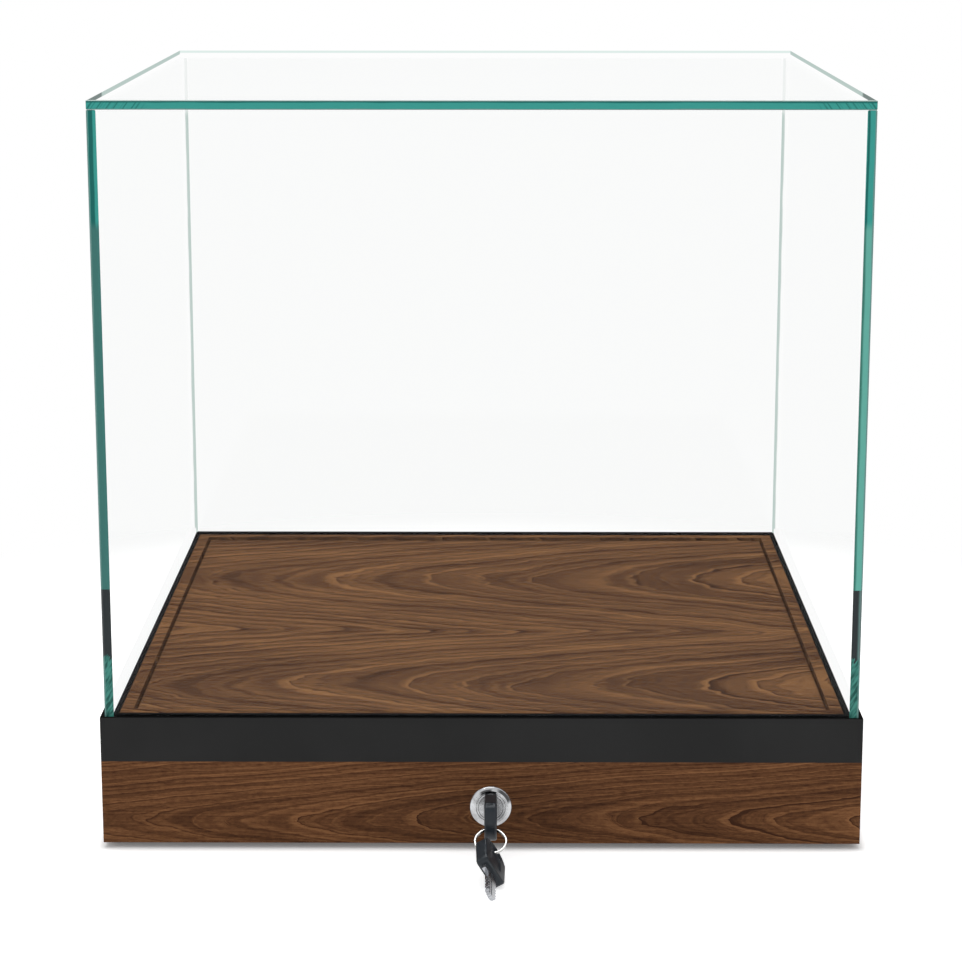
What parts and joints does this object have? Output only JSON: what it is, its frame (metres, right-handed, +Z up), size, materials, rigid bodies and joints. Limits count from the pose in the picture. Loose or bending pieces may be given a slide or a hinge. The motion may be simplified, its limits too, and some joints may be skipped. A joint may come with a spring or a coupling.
{
  "type": "countertop display case",
  "caption": "Square glass display hood in a black rail frame that lifts off a walnut base, held down by a cam lock with keys on a split ring.",
  "frame": {"origin": "on the counter, at the centre of the case's square footprint, in the plane of the rubber feet's undersides", "axes": "+Z up; the front, with the lock, faces -Y; +X is to the right seen from the front"},
  "size_m": [0.4, 0.4813, 0.394],
  "materials": {
    "clear_glass": "clear float glass, polished green edges",
    "black_metal": "matte black powder coat on aluminium",
    "bare_aluminium": "mill finish",
    "black_rubber": "matte",
    "zinc_steel": "zinc plated",
    "walnut": "satin lacquered walnut veneer",
    "birch_plywood": "bare plywood",
    "chrome": "polished chrome plate",
    "brass": "plain",
    "nickel_steel": "bright nickel plate",
    "black_plastic": "satin moulded plastic"
  },
  "bodies": {
    "base": {"skirt_front": "walnut", "skirt_back": "walnut", "skirt_left": "walnut", "skirt_right": "walnut", "upstand_front": "walnut", "upstand_back": "walnut", "upstand_left": "walnut", "upstand_right": "walnut", "deck_panel": "walnut", "deck_cleats": "birch_plywood", "bottom_panel": "birch_plywood", "bottom_cleats": "birch_plywood", "bottom_screws": "zinc_steel", "rubber_feet": "black_rubber", "lock_housing": "chrome", "lock_nut": "zinc_steel"},
    "hood": {"glass_top": "clear_glass", "glass_front": "clear_glass", "glass_back": "clear_glass", "glass_left": "clear_glass", "glass_right": "clear_glass", "rail_front": "black_metal", "rail_back": "black_metal", "rail_left": "black_metal", "rail_right": "black_metal", "rail_corner_keys": "bare_aluminium", "glazing_seal": "black_rubber", "hood_catch": "zinc_steel", "catch_screws": "zinc_steel"},
    "lock": {"lock_plug": "chrome", "lock_wafers": "brass", "lock_cam": "zinc_steel", "cam_screw": "zinc_steel"},
    "key_1": {"key_1_head": "black_plastic", "key_1_blade": "nickel_steel"},
    "ring": {"key_ring": "nickel_steel"},
    "key_2": {"key_2_head": "black_plastic", "key_2_blade": "nickel_steel"}
  },
  "joints": [
    {"name": "hood_lift", "type": "slide", "parent": "base", "child": "hood", "axis": [0, 0, 1], "range_m": [0, 0.35]},
    {"name": "lock_turn", "type": "hinge", "parent": "base", "child": "lock", "pos_m": [0.005, -0.2, 0.0236], "axis": [0, 1, 0], "range_deg": [0, 90]},
    {"name": "key_draw", "type": "slide", "parent": "lock", "child": "key_1", "axis": [0, -1, 0], "range_m": [0, 0.025]},
    {"name": "ring_swing", "type": "hinge", "parent": "key_1", "child": "ring", "pos_m": [0.005, -0.2253, 0.02015], "axis": [-1, 0, 0], "range_deg": [0, 60]},
    {"name": "spare_key_swing", "type": "hinge", "parent": "ring", "child": "key_2", "pos_m": [0.005, -0.23947, 0.0125], "axis": [-1, 0, 0], "range_deg": [0, 35]}
  ]
}
